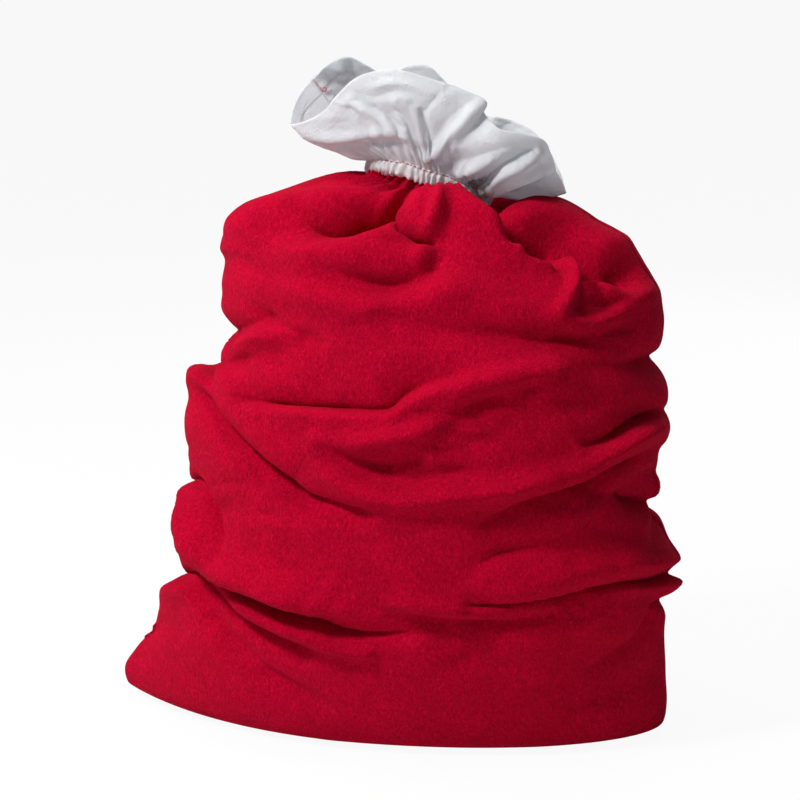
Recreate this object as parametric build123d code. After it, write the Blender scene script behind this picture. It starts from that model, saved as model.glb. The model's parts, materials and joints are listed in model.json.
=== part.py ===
"""Fabric gift sack: a felt bag with an elasticated cotton cuff, standing filled out on its flat bottom.

Two felt panels are sewn into a pillow-shaped bag.  Their top edge is gathered into a narrow throat, and a
cotton cuff with an elastic in its casing is sewn to the throat.  The throat leans to the right (+X).
Units are millimetres, +Z is up, the front faces -Y, and the origin is the middle of the footprint.
"""
from build123d import *
import os
from math import cos, pi, radians, sin

# Driving dimensions
FELT = 3.0                  # thickness of the felt panels
COTTON = 1.6                # thickness of the doubled cotton of the cuff
SPLIT_GAP = 0.2             # gap between front and back pieces at the side seams
LEAN = 20.0                 # degrees that the throat leans to the right
PIVOT = (20.3, 0.0, 562.2)  # point about which the throat bends
MOUTH_DROP = 8.0            # how far the bag's top hole lies below the pivot
MOUTH_RADIUS = 63.0         # radius of that hole

# Throat: two nested rings of gathered felt, which bend inside each other about the pivot
LOWER_GATHER_RADIUS = 62.0
UPPER_GATHER_RADIUS = 58.5
GATHER_THICKNESS = 2.5

# Casing ring (cotton channel) and the elastic inside it, in the throat's own frame
CASING_BOTTOM = 28.0
CASING_HEIGHT = 18.0
CASING_TOP = CASING_BOTTOM + CASING_HEIGHT
CASING_WIDE = 70.0          # outer half width
CASING_DEEP = 52.0          # outer half depth
CASING_BULK = 13.0          # radial bulk of the gathered channel
ELASTIC_HEIGHT = 12.0
ELASTIC_THICKNESS = 1.5

# Cuff: height above the pivot, half width, half depth
CUFF_RINGS = [(CASING_TOP + 0.3, 71.0, 51.0), (78.0, 112.0, 57.0), (108.0, 138.0, 61.5), (128.0, 150.0, 64.0)]
HEM_RING = 2                # the ring that the hem is sewn down along
SEAM_WIDTH = 9.0            # width of the seam allowances
SEAM_THICKNESS = 4.6        # two layers of felt side by side
THREAD = 0.5                # radius of a stitch
STITCH_PITCH = 5.0
STITCH_LENGTH = 3.2

# Outlines of the bag, bottom to top: height of the middle, left end, right end, half depth, pointedness of the
# two ends (0.5 is an ellipse, 1 a lens), degrees that the outline dips to the right
BAG_OUTLINES = [
    (0.0, -262.0, 268.0, 112.0, 0.90, 0.0),
    (36.0, -302.0, 302.0, 142.0, 0.85, 0.0),
    (110.0, -262.0, 292.0, 162.0, 0.65, 0.0),
    (200.0, -240.0, 294.0, 172.0, 0.50, 0.0),
    (320.0, -231.0, 292.0, 175.0, 0.50, 0.0),
    (430.0, -203.0, 290.0, 170.0, 0.50, 0.0),
    (510.0, -194.0, 272.0, 158.0, 0.50, 0.0),
    (550.0, -182.0, 232.0, 138.0, 0.50, 3.0),
    (573.0, -142.0, 172.0, 108.0, 0.50, 7.0),
]
OUTLINE_STEPS = 8           # spans along each half outline
RIM_HALF_WIDTH = 60.0       # the bag's surface runs in to this size, inside its top hole
BIG = 1000.0

lean = radians(LEAN)
neck = Plane(origin=PIVOT, x_dir=(cos(lean), 0, -sin(lean)), z_dir=(sin(lean), 0, cos(lean)))


def half_outline(centre, half_width, depth, point, tilt, side):
    """Front (side -1) or back (side +1) edge of an outline, from its left end to its right end."""
    cx, cz = centre
    points = []
    for step in range(OUTLINE_STEPS + 1):
        along = -cos(pi * step / OUTLINE_STEPS)
        across = side * depth * max(0.0, 1 - along * along) ** point
        points.append((cx + along * half_width * cos(tilt), across, cz - along * half_width * sin(tilt)))
    return Spline(*points)


def outline(centre, half_width, depth, point=0.5, tilt=0.0):
    """Closed face of one outline of the bag."""
    front = half_outline(centre, half_width, depth, point, tilt, -1)
    back = half_outline(centre, half_width, depth, point, tilt, 1)
    return Face(Wire([front, back]))


def bag_solid(inset):
    """The filled bag's volume, made smaller by inset on all sides."""
    faces = []
    last = len(BAG_OUTLINES) - 1
    for number, (height, left, right, depth, point, dip) in enumerate(BAG_OUTLINES):
        lift = inset if number == 0 else -inset if number == last else 0.0
        centre = ((left + right) / 2, height + lift)
        half_width = (right - left) / 2 - inset
        faces.append(outline(centre, half_width, depth - inset, point, radians(dip)))
    drop = MOUTH_DROP + inset
    rim_centre = (PIVOT[0] - drop * sin(lean), PIVOT[2] - drop * cos(lean))
    rim_size = RIM_HALF_WIDTH - inset
    faces.append(outline(rim_centre, rim_size, rim_size, 0.5, lean))
    return loft(faces)


def half_space(side):
    """Everything in front of (side -1) or behind (side +1) the side seams."""
    return Pos(0, side * (BIG + SPLIT_GAP / 2), 0) * Box(2 * BIG, 2 * BIG, 2 * BIG)


def slab(low, high):
    """Everything between two heights."""
    return Pos(0, 0, (low + high) / 2) * Box(2 * BIG, 2 * BIG, high - low)


def felt_panels():
    """Front and back felt panel, each one half of the bag's wall."""
    mouth = neck * Pos(0, 0, -MOUTH_DROP) * Cylinder(MOUTH_RADIUS, 60.0)
    wall = bag_solid(0.0) - bag_solid(FELT) - mouth
    return wall & half_space(-1), wall & half_space(1)


def seam_parts():
    """Seam allowances inside the bag with the overlock thread on their edge, each as left, right and bottom."""
    clear = FELT + 0.4
    edge = clear + SEAM_WIDTH
    layers = Box(2 * BIG, SEAM_THICKNESS, 2 * BIG)
    inner = bag_solid(edge)
    allowance = (bag_solid(clear) & layers) - inner
    thread = (inner & layers) - bag_solid(edge + 1.2)
    bottom_top, side_top = 60.0, 520.0
    mitre = 2.0
    throat = neck * Cylinder(MOUTH_RADIUS + SEAM_WIDTH, 300.0)
    found = {}
    for name, loop in (("seam_allowance", allowance), ("overlock_thread", thread)):
        sides = (loop & slab(bottom_top, side_top)) - throat
        left = sides & (Pos(-BIG, 0, 0) * Box(2 * BIG, BIG, 2 * BIG))
        right = sides & (Pos(BIG, 0, 0) * Box(2 * BIG, BIG, 2 * BIG))
        found["left_" + name] = left
        found["right_" + name] = right
        found["bottom_" + name] = loop & slab(-BIG, bottom_top - mitre)
    return found


def gather_ring(radius, low, high):
    """Zone of a thin sphere about the pivot: a ring of gathered felt that can bend inside the next one."""
    return (Sphere(radius) - Sphere(radius - GATHER_THICKNESS)) & slab(low, high)


def elliptic_tube(low, high, wide, deep, bulk):
    """Upright elliptical tube with the given outer half sizes and wall."""
    shape = Ellipse(wide, deep) - Ellipse(wide - bulk, deep - bulk)
    return Pos(0, 0, low) * extrude(shape, high - low)


def upper_gather():
    """Gathered felt from inside the lower ring up to the casing."""
    top_radius = UPPER_GATHER_RADIUS - 6.5
    zone = gather_ring(UPPER_GATHER_RADIUS, -26.0, 24.0)
    collar = elliptic_tube(18.0, CASING_BOTTOM - 0.3, top_radius, CASING_DEEP - 4.0, GATHER_THICKNESS)
    return zone + collar


def casing():
    """Closed cotton channel round the throat, with the room inside it for the elastic."""
    body = elliptic_tube(CASING_BOTTOM, CASING_TOP, CASING_WIDE, CASING_DEEP, CASING_BULK)
    wall = 2 * COTTON
    room = elliptic_tube(
        CASING_BOTTOM + COTTON,
        CASING_TOP - COTTON,
        CASING_WIDE - wall,
        CASING_DEEP - wall,
        CASING_BULK - 2 * wall,
    )
    return body - room


def elastic():
    """Flat elastic loop standing in the middle of the channel, and the bar tacks over its lap joint."""
    middle = (CASING_BOTTOM + CASING_TOP) / 2
    inset = (CASING_BULK - ELASTIC_THICKNESS) / 2
    wide, deep = CASING_WIDE - inset, CASING_DEEP - inset
    low, high = middle - ELASTIC_HEIGHT / 2, middle + ELASTIC_HEIGHT / 2
    loop = elliptic_tube(low, high, wide, deep, ELASTIC_THICKNESS)
    tacks = []
    tack_count, tack_spacing = 4, 4.0
    for number in range(tack_count):
        across = (number - (tack_count - 1) / 2) * tack_spacing
        tacks.append(Pos(across, deep + THREAD + 0.4, middle) * Cylinder(THREAD, ELASTIC_HEIGHT - 3.0))
    return loop, Compound(tacks)


def cuff():
    """Flared cotton tube above the casing, open at its top."""
    outer = loft([Pos(0, 0, w) * Ellipse(wide, deep) for w, wide, deep in CUFF_RINGS])
    inner = loft([Pos(0, 0, w) * Ellipse(wide - COTTON, deep - COTTON) for w, wide, deep in CUFF_RINGS])
    return outer - inner


def cuff_side_seam(side):
    """Overlocked side seam inside the cuff, on the left (side -1) or right (side +1)."""
    line = [((wide - COTTON - 4.6) * side, 0.0, w) for w, wide, _ in CUFF_RINGS]
    first, last = line[0], line[-1]
    line[0] = (first[0], 0.0, first[2] + 3.0)
    line[-1] = (last[0] - 2.0 * side, 0.0, last[2] - 3.0)
    path = Spline(*line)
    return sweep(Plane(origin=path @ 0, z_dir=path % 0) * Rectangle(4.0, 2.0), path=path)


def stitch_row(height, wide, deep, side):
    """Row of short straight stitches on one half of an ellipse, just outside it."""
    wide, deep = wide + THREAD + 0.1, deep + THREAD + 0.1
    half_length = pi * (3 * (wide + deep) - ((3 * wide + deep) * (wide + 3 * deep)) ** 0.5) / 2
    count = int(half_length / STITCH_PITCH)
    stitches = []
    for number in range(1, count - 1):
        angle = side * pi * (number + 0.5) / count
        place = (wide * cos(angle), deep * sin(angle), height)
        along = (-wide * sin(angle), deep * cos(angle), 0)
        stitch = Cylinder(THREAD, STITCH_LENGTH)
        stitches.append(Plane(origin=place, z_dir=along) * stitch)
    return Compound(stitches)


def neck_parts():
    """Everything above the bag's top hole, in the throat's frame, by node name."""
    parts = {
        "lower_felt_gather": gather_ring(LOWER_GATHER_RADIUS, -32.0, -3.0),
        "upper_felt_gather": upper_gather(),
    }
    parts["elastic_band"], parts["elastic_lap_tacks"] = elastic()
    casing_ring, cuff_tube = casing(), cuff()
    hem_height, hem_wide, hem_deep = CUFF_RINGS[HEM_RING]
    for side, word in ((-1, "front"), (1, "back")):
        half = half_space(side)
        parts[word + "_casing"] = casing_ring & half
        parts[word + "_cuff_panel"] = cuff_tube & half
        for name, inset in (("casing_top_stitches", 1.5), ("casing_join_stitches", CASING_HEIGHT - 1.5)):
            parts[f"{word}_{name}"] = stitch_row(CASING_TOP - inset, CASING_WIDE, CASING_DEEP, side)
        parts[word + "_hem_stitches"] = stitch_row(hem_height, hem_wide + 0.6, hem_deep + 0.6, side)
    parts["left_cuff_seam"] = cuff_side_seam(-1)
    parts["right_cuff_seam"] = cuff_side_seam(1)
    return parts


def build():
    """All sub-parts by node name, in the sack's frame."""
    front, back = felt_panels()
    parts = {"front_felt_panel": front, "back_felt_panel": back}
    parts.update(seam_parts())
    for name, shape in neck_parts().items():
        parts[name] = neck * shape
    return parts


os.makedirs("parts", exist_ok=True)
for name, shape in build().items():
    export_step(shape, f"parts/{name}.step")
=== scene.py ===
import json
import math

import bmesh
import bpy
import numpy as np
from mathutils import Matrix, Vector


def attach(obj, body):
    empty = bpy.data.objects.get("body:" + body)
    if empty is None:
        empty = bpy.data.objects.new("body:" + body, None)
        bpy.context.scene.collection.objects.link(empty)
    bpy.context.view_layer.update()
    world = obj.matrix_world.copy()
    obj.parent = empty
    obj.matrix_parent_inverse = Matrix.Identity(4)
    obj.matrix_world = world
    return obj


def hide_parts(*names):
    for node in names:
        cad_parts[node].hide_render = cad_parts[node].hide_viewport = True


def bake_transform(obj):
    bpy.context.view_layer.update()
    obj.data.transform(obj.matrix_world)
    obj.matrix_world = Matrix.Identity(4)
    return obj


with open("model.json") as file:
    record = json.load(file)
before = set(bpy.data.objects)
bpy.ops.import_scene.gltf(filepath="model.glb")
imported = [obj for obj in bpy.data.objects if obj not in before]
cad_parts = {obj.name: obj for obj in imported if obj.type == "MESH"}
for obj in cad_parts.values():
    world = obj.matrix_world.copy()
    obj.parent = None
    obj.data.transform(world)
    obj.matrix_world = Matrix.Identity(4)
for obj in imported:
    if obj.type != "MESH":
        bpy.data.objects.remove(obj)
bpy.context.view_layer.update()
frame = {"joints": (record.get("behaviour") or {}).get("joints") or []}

JOINTS = {joint["name"]: joint for joint in frame["joints"]}
MM = 0.001

# The throat's own frame: its pivot, and the directions across it (to the right), through it (to the back) and
# along it (upwards)
PIVOT = np.array(JOINTS["neck_nod"]["pos_m"])
ACROSS = np.array(JOINTS["neck_nod"]["axis"])
ACROSS = ACROSS / np.linalg.norm(ACROSS)
THROUGH = np.array([0.0, 1.0, 0.0])
ALONG = np.cross(ACROSS, THROUGH)

# The viewpoint: folds are laid out as they are seen from here, and from straight behind for the back
VIEW_AZIMUTH = 12.0
VIEW_ELEVATION = 12.0
VIEW_DISTANCE = 2.6
VIEW_WIDTH = 0.88           # width of the picture at the sack
VIEW_TARGET = np.array([0.003, 0.0, 0.361])

# Felt panels
FELT_COLUMNS = 280          # cells from side seam to side seam
FELT_ROWS = 248             # cells from the bottom seam to the throat
FELT_THICKNESS = 0.0022


def neck_points(across, through, along):
    """Points given in the throat's frame, as an array of row-frame positions."""
    across, through, along = np.broadcast_arrays(across, through, along)
    return (PIVOT + across[..., None] * ACROSS + through[..., None] * THROUGH + along[..., None] * ALONG)


def smoothstep(low, high, value):
    """0 at low, 1 at high, smooth in between."""
    t = np.clip((value - low) / (high - low), 0.0, 1.0)
    return t * t * (3 - 2 * t)


def view_axes(azimuth):
    """Right, up and forward directions of a camera at that azimuth and at the viewpoint's elevation."""
    turn, tilt = math.radians(azimuth), math.radians(VIEW_ELEVATION)
    forward = np.array([-math.sin(turn) * math.cos(tilt), math.cos(turn) * math.cos(tilt), -math.sin(tilt)])
    right = np.array([math.cos(turn), math.sin(turn), 0.0])
    return right, np.cross(right, forward), forward


def seen_from(points, azimuth):
    """Where a camera at that azimuth sees points: metres right of and above the middle of the picture."""
    right, up, forward = view_axes(azimuth)
    eye = VIEW_TARGET - VIEW_DISTANCE * forward
    ray = points - eye
    scale = VIEW_DISTANCE / (ray @ forward)
    return (ray @ right) * scale, (ray @ up) * scale


def spline_rows(rows, count):
    """Cubic curve through rows of numbers, spaced by their first column, at count + 1 even steps."""
    rows = np.array(rows, float)
    place, values = rows[:, 0], rows[:, 1:]
    slope = np.gradient(values, place, axis=0)
    where = np.linspace(place[0], place[-1], count + 1)
    index = np.clip(np.searchsorted(place, where, side="right") - 1, 0, len(place) - 2)
    span = (place[index + 1] - place[index])[:, None]
    t = ((where - place[index])[:, None]) / span
    a, b = values[index], values[index + 1]
    da, db = slope[index] * span, slope[index + 1] * span
    return ((2 * t ** 3 - 3 * t ** 2 + 1) * a + (t ** 3 - 2 * t ** 2 + t) * da
            + (-2 * t ** 3 + 3 * t ** 2) * b + (t ** 3 - t ** 2) * db)


def distances(path):
    """Distance of each point of a path from its start, measured along it."""
    return np.concatenate([[0.0], np.cumsum(np.linalg.norm(np.diff(path, axis=0), axis=1))])


def curve_through(points, count):
    """count + 1 points evenly spread along a smooth curve through the given points."""
    points = np.array(points, float)
    return spline_rows(np.column_stack([distances(points[:, :2]), points]), count)


def grid_normals(grid):
    """Unit normals of a grid of points that closes on itself along its columns, pointing outwards."""
    along_rows = np.gradient(grid, axis=0)
    along_columns = (np.roll(grid, -1, axis=1) - np.roll(grid, 1, axis=1)) / 2
    normal = np.cross(along_columns, along_rows)
    return normal / np.maximum(np.linalg.norm(normal, axis=2, keepdims=True), 1e-12)


def relax(grid, passes, share=0.5):
    """Moves points of the closed grid towards the mean of their neighbours, except the first and last row."""
    for _ in range(passes):
        mean = (np.roll(grid, 1, axis=1) + np.roll(grid, -1, axis=1)) / 4
        mean[1:-1] += (grid[2:] + grid[:-2]) / 4
        grid[1:-1] += share * (mean[1:-1] - grid[1:-1])
    return grid


# ----------------------------------------------------------------------------------- the felt sack
# Rings of the filled sack, from the bottom seam up to the throat, in millimetres and degrees: height of the
# middle, left end, right end, half depth in front, half depth behind, pointedness of the left end and of the
# right end (0.5 is an ellipse, 1 a lens), tilt, and how far the left end, right end and front are lifted
RINGS = [
    (2, -290, 268, 1, 1, 0.95, 0.65, 0, 10, 5, 0),
    (1, -300, 278, 62, 62, 1.0, 0.7, 0, 9, 4, 0),
    (2, -310, 288, 104, 104, 0.95, 0.62, 0, 7, 3, 0),
    (8, -319, 300, 127, 128, 0.95, 0.57, 0, 5, 2, 0),
    (32, -322, 304, 142, 142, 0.88, 0.56, 0, 2, 0, 0),
    (60, -305, 303, 150, 150, 0.78, 0.56, 0, 0, 0, 0),
    (105, -280, 300, 160, 160, 0.64, 0.55, 0, 0, 0, 0),
    (160, -259, 306, 168, 168, 0.56, 0.52, 0, 0, 0, 0),
    (220, -245, 298, 172, 172, 0.5, 0.5, 0, 0, 0, 0),
    (290, -237, 291, 174, 174, 0.5, 0.5, 0, 0, 0, 0),
    (350, -241, 299, 173, 174, 0.5, 0.5, 0, 0, 0, 0),
    (385, -232, 298, 171, 173, 0.5, 0.5, 0, 0, 0, 0),
    (420, -190, 294, 166, 171, 0.5, 0.5, 0, 0, 0, 0),
    (465, -192, 290, 159, 168, 0.5, 0.5, 0, 0, 0, 0),
    (505, -193, 272, 147, 160, 0.5, 0.5, 0, 0, 0, 0),
    (538, -193, 242, 131, 148, 0.5, 0.5, 0, 0, 0, 0),
    (565, -178, 202, 109, 128, 0.5, 0.5, 0, 0, 0, 0),
    (582, -140, 168, 87, 104, 0.5, 0.5, 0, 0, 0, 0),
    (589, -102, 136, 71, 84, 0.5, 0.5, 5, 0, 0, 3),
    (589, -62, 106, 60, 66, 0.5, 0.5, 14, 0, 0, 8),
    (586, -38, 90, 51, 51, 0.5, 0.5, 17, 0, 0, 11),
    (590, -32, 88, 46, 46, 0.5, 0.5, 17, 0, 0, 14),
    (599, -27, 89, 44, 44, 0.5, 0.5, 17, 0, 0, 15),
]
# Folds as they are seen from the viewpoint (BACK_FOLDS from behind), in millimetres: rise, width above the
# line and below it, slide across it, and the line's points as right, up and strength
FRONT_FOLDS = [
    # neck to the left shoulder
    (11, 12, 12, 0, [
        (-13, 222, 0.6), (-61, 217, 1), (-99, 212, 1), (-147, 202, 0.9), (-176, 189, 0.5),
        (-189, 176, 0.2),
    ]),
    (-22, 9, 8, 0, [
        (2, 218, 1), (-20, 211, 1), (-45, 204, 1), (-70, 197, 0.9), (-92, 197, 0.6), (-103, 204, 0.3),
    ]),
    (9, 9, 7, 6, [(-4, 225, 0.8), (-33, 219, 1), (-61, 212, 1), (-86, 206, 0.6)]),
    (-13, 5, 5, 0, [(0, 223, 0.4), (-3, 216, 1), (0, 206, 1), (8, 196, 1)]),
    (8, 6, 24, 0, [(9, 180, 0.5), (-22, 178, 1), (-61, 169, 1), (-99, 163, 0.6)]),
    (-24, 7, 7, 0, [(7, 196, 1), (19, 187, 1), (33, 178, 0.8)]),
    # front puff under the casing and its ridge
    (14, 16, 18, 0, [(15, 215, 1), (44, 209, 1), (77, 194, 0.9), (116, 173, 0.5)]),
    (10, 7, 7, 0, [(4, 207, 0.8), (16, 198, 1), (32, 188, 1), (41, 194, 0.6)]),
    (6, 7, 7, 0, [(21, 155, 0.7), (30, 167, 1), (38, 184, 1), (44, 202, 1)]),
    (-3, 10, 10, 0, [(40, 150, 0.6), (48, 169, 1), (54, 189, 0.5)]),
    # front puff's far edge, over the hollow in front of the right shoulder
    (9, 12, 10, 0, [
        (176, 152, 0.5), (143, 161, 1), (122, 172, 1), (108, 184, 1), (92, 196, 1), (68, 209, 0.6),
    ]),
    (-24, 8, 8, 0, [
        (176, 165, 0.3), (150, 172, 0.8), (127, 184, 1), (113, 197, 1), (97, 209, 0.8), (77, 222, 0.4),
    ]),
    # right shoulder, its lip and the hollows under it
    (6, 14, 16, 0, [(112, 206, 0.7), (154, 207, 1), (209, 188, 1), (248, 163, 1), (275, 121, 0.4)]),
    (-18, 9, 9, 0, [
        (124, 176, 0.8), (146, 179, 1), (172, 177, 1), (194, 164, 0.9), (220, 145, 0.6), (248, 132, 0.4),
    ]),
    (9, 6, 6, 0, [
        (135, 169, 0.8), (161, 174, 1), (174, 174, 1), (184, 164, 1), (191, 148, 1), (193, 132, 1),
        (187, 114, 0.8), (176, 99, 0.5),
    ]),
    (-14, 5, 5, 0, [(141, 163, 0.6), (160, 162, 1), (172, 157, 1), (178, 146, 0.6)]),
    (-8, 10, 10, 0, [(204, 152, 0.5), (211, 136, 1), (207, 119, 0.6)]),
    (5, 8, 8, 0, [(209, 150, 0.3), (226, 131, 1), (244, 121, 1), (270, 116, 0.6)]),
    (-7, 9, 9, 0, [(233, 152, 0.4), (246, 139, 1), (257, 125, 0.6)]),
    (6, 8, 8, 0, [(168, 95, 0.5), (187, 89, 1), (209, 88, 1), (233, 96, 1), (253, 107, 0.5)]),
    (-6, 8, 8, 0, [(204, 106, 0.6), (229, 107, 1), (253, 112, 0.6)]),
    # wide smiling folds below the throat
    (5, 12, 12, 0, [(-118, 165, 0.4), (-77, 158, 0.8), (-33, 152, 1), (-6, 150, 1), (21, 155, 0.6)]),
    (-7, 12, 12, 0, [(-77, 143, 0.4), (-38, 134, 1), (-6, 131, 1), (33, 143, 0.6)]),
    (5, 12, 12, 0, [(-114, 121, 0.5), (-72, 107, 1), (-28, 103, 1), (2, 111, 0.7)]),
    (5, 13, 13, 0, [(24, 108, 0.5), (55, 122, 1), (88, 120, 0.8), (127, 98, 0.8), (160, 86, 0.6)]),
    (-8, 16, 16, 0, [
        (0, 90, 0.3), (44, 80, 0.7), (94, 74, 0.9), (143, 70, 1), (209, 73, 1), (253, 81, 0.6),
    ]),
    (-8, 10, 10, 0, [(-196, 68, 0.8), (-176, 79, 0.8), (-152, 90, 0.6)]),
    (-7, 10, 10, 0, [(-152, 97, 0.4), (-132, 82, 1), (-110, 73, 0.8), (-95, 66, 0.4)]),
    (7, 9, 9, 0, [(-186, 53, 0.7), (-160, 70, 1), (-121, 76, 0.7)]),
    (-11, 12, 15, 0, [(295, 53, 1), (275, 46, 1), (251, 42, 0.5), (220, 37, 0.3)]),
    # second row
    (-12, 8, 8, 0, [(-207, 53, 1), (-189, 47, 1), (-172, 47, 0.5)]),
    (6, 10, 8, 0, [(-224, 29, 0.8), (-201, 3, 1), (-165, -34, 1), (-127, -72, 0.7)]),
    (-26, 9, 12, 0, [
        (-230, 24, 0), (-217, 8, 0.7), (-201, -14, 1), (-184, -32, 1), (-165, -51, 0.9),
        (-147, -67, 0.8), (-132, -80, 0.6), (-107, -103, 0.5), (-81, -112, 0.4), (-45, -120, 0.3),
    ]),
    (-12, 13, 6, 0, [
        (-167, 2, 0.5), (-129, -2, 1), (-84, -6, 1), (-37, -10, 1), (-13, -8, 1), (0, 4, 0.9),
        (22, 14, 0.7), (54, 22, 0.4),
    ]),
    (5, 6, 9, 0, [(-160, -6, 0.6), (-110, -11, 1), (-55, -14, 1), (-11, -15, 0.8)]),
    (8, 9, 14, 0, [(0, -2, 0.6), (33, 10, 1), (77, 18, 1), (121, 28, 1), (167, 35, 0.6)]),
    (-7, 10, 10, 0, [(16, -15, 0.3), (50, -14, 0.8), (77, -4, 1), (110, 7, 0.8), (143, 15, 0.4)]),
    (7, 10, 10, 0, [
        (-92, -43, 0.5), (-55, -47, 0.8), (-20, -44, 1), (16, -34, 1), (44, -20, 1), (66, -6, 0.6),
    ]),
    (-8, 11, 11, 0, [(-73, -53, 0.5), (-44, -68, 1), (-13, -75, 1), (13, -67, 0.6)]),
    # third row
    (-5, 9, 9, 0, [(-29, -79, 0.5), (0, -88, 1), (35, -85, 1), (77, -77, 0.6)]),
    (8, 10, 10, 0, [
        (-88, -75, 0.4), (-56, -97, 1), (-10, -109, 1), (54, -106, 1), (110, -99, 1), (161, -88, 1),
        (197, -78, 1), (233, -57, 1), (264, -41, 0.7), (282, -31, 0.4),
    ]),
    (-18, 7, 7, 0, [
        (295, -9, 0.25), (275, -15, 1), (261, -21, 1), (243, -32, 1), (230, -41, 0.6), (209, -48, 0.3),
    ]),
    (6, 7, 8, 0, [(280, -25, 0.8), (253, -38, 1), (231, -51, 0.8), (198, -59, 0.4)]),
    (-14, 7, 12, 0, [
        (277, -57, 0.6), (261, -63, 1), (233, -73, 1), (207, -86, 1), (188, -94, 1), (161, -102, 0.8),
        (124, -117, 0.6), (99, -130, 0.4),
    ]),
    (-7, 6, 6, 0, [(283, -78, 0.7), (268, -88, 0.7), (257, -95, 0.3)]),
    (-18, 11, 11, 0, [(277, -106, 1), (264, -107, 1), (244, -103, 0.5), (220, -103, 0.3)]),
    (-12, 7, 7, 0, [
        (-242, -81, 0.8), (-229, -85, 1), (-220, -98, 1), (-209, -122, 1), (-201, -143, 1),
        (-195, -163, 0.4),
    ]),
    (-6, 9, 9, 0, [(88, -182, 0.5), (114, -169, 1), (143, -163, 0.8), (176, -160, 0.4)]),
    (4, 8, 8, 0, [(91, -193, 0.7), (132, -179, 1), (172, -174, 0.8)]),
    # fourth row: crests that hang over deep hollows
    (12, 14, 6, 7, [
        (-238, -107, 0.3), (-232, -128, 0.8), (-227, -147, 1), (-218, -164, 1), (-207, -177, 1),
        (-188, -188, 1), (-160, -199, 1), (-124, -213, 1), (-97, -222, 0.7), (-66, -230, 0.4),
    ]),
    (-24, 6, 9, 0, [
        (-215, -183, 0.8), (-199, -195, 1), (-167, -211, 1), (-139, -223, 1), (-108, -233, 1),
        (-75, -248, 0.8), (-38, -256, 0.6), (2, -257, 0.3),
    ]),
    (-12, 4, 4, 0, [(-234, -151, 0.8), (-229, -164, 1), (-221, -175, 1), (-211, -186, 0.8)]),
    (10, 6, 6, 3, [
        (-239, -148, 0.3), (-231, -165, 1), (-224, -179, 1), (-209, -197, 1), (-193, -210, 1),
        (-165, -230, 1), (-136, -244, 1), (-103, -256, 1), (-75, -268, 0.9), (-34, -276, 0.6),
    ]),
    (-15, 6, 10, 0, [
        (-244, -184, 1), (-231, -189, 1), (-217, -202, 1), (-198, -220, 1), (-174, -240, 0.9),
        (-143, -260, 0.7), (-108, -275, 0.5),
    ]),
    (-9, 11, 11, 0, [
        (-235, -207, 0.3), (-227, -218, 0.8), (-213, -234, 1), (-197, -254, 1), (-176, -276, 1),
        (-152, -296, 0.9), (-121, -316, 0.7), (-90, -331, 0.4),
    ]),
    (6, 8, 8, 0, [(-264, -211, 0.6), (-244, -209, 1), (-224, -231, 0.7)]),
    (-5, 9, 9, 0, [(-277, -251, 1), (-264, -246, 0.7), (-246, -255, 0.3)]),
    (9, 14, 7, 6, [
        (295, -172, 0.8), (270, -178, 1), (244, -180, 1), (204, -189, 1), (173, -198, 1),
        (132, -209, 0.8), (88, -217, 0.4),
    ]),
    (-25, 6, 8, 0, [
        (297, -190, 0.15), (280, -193, 0.8), (254, -191, 1), (216, -196, 1), (189, -202, 1),
        (158, -209, 0.9), (122, -218, 0.7), (81, -223, 0.4),
    ]),
    (9, 5, 8, 0, [(310, -197, 1), (280, -202, 1), (242, -204, 0.8), (204, -209, 0.6)]),
    (7, 7, 7, 0, [(-4, -221, 0.7), (41, -228, 1), (81, -231, 1), (114, -228, 1), (158, -219, 0.6)]),
    (-7, 6, 12, 0, [(0, -234, 0.5), (41, -240, 1), (81, -244, 1), (142, -242, 0.7), (176, -233, 0.3)]),
    (-9, 8, 8, 0, [
        (295, -220, 1), (284, -227, 1), (275, -246, 0.9), (260, -263, 0.6), (244, -273, 0.5),
        (213, -293, 0.3),
    ]),
    (-3, 5, 5, 0, [(37, -272, 0.7), (53, -273, 0.7)]),
    (-4, 12, 12, 0, [(198, -336, 0.4), (244, -319, 0.8), (277, -304, 0.5)]),
]
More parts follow.
